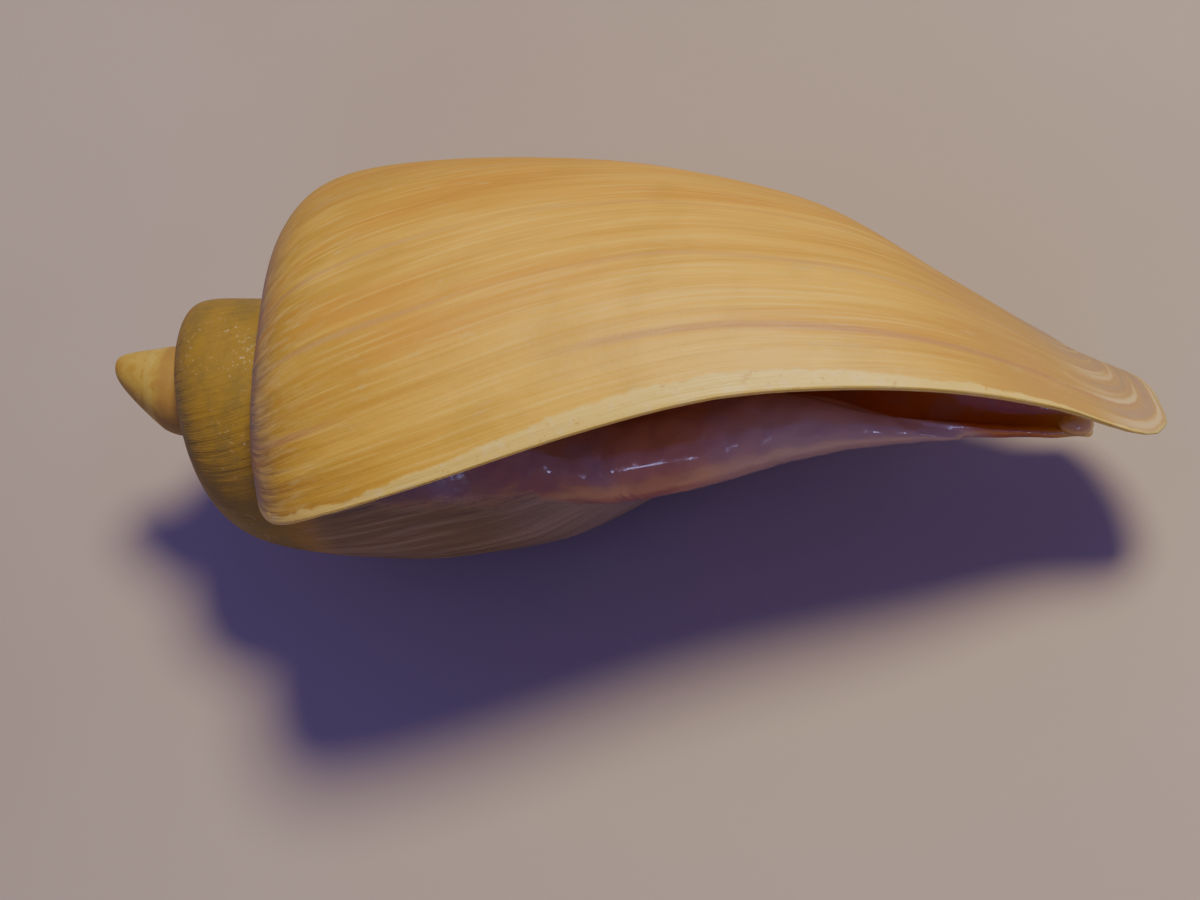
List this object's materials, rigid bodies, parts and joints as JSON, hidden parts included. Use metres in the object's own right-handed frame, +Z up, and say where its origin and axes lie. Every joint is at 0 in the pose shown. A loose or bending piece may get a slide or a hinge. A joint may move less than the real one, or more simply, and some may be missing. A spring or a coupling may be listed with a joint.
{
  "type": "cymbium olla shell",
  "caption": "Large-mouthed volute shell with a nipple-shaped apex, a broad square-shouldered last whorl and a wide aperture running to an open front canal, lying on its side.",
  "frame": {"origin": "centre of the small flat spot under the last whorl that the shell lies on", "axes": "+Z up, away from the ground; +X along the shell's length as it lies, from the apex towards the front canal; +Y to the back of the shell, so the aperture faces -Y"},
  "size_m": [0.1102, 0.0438, 0.0479],
  "materials": {
    "shell": "satin"
  },
  "bodies": {
    "root": {"shell": "shell"}
  },
  "joints": []
}
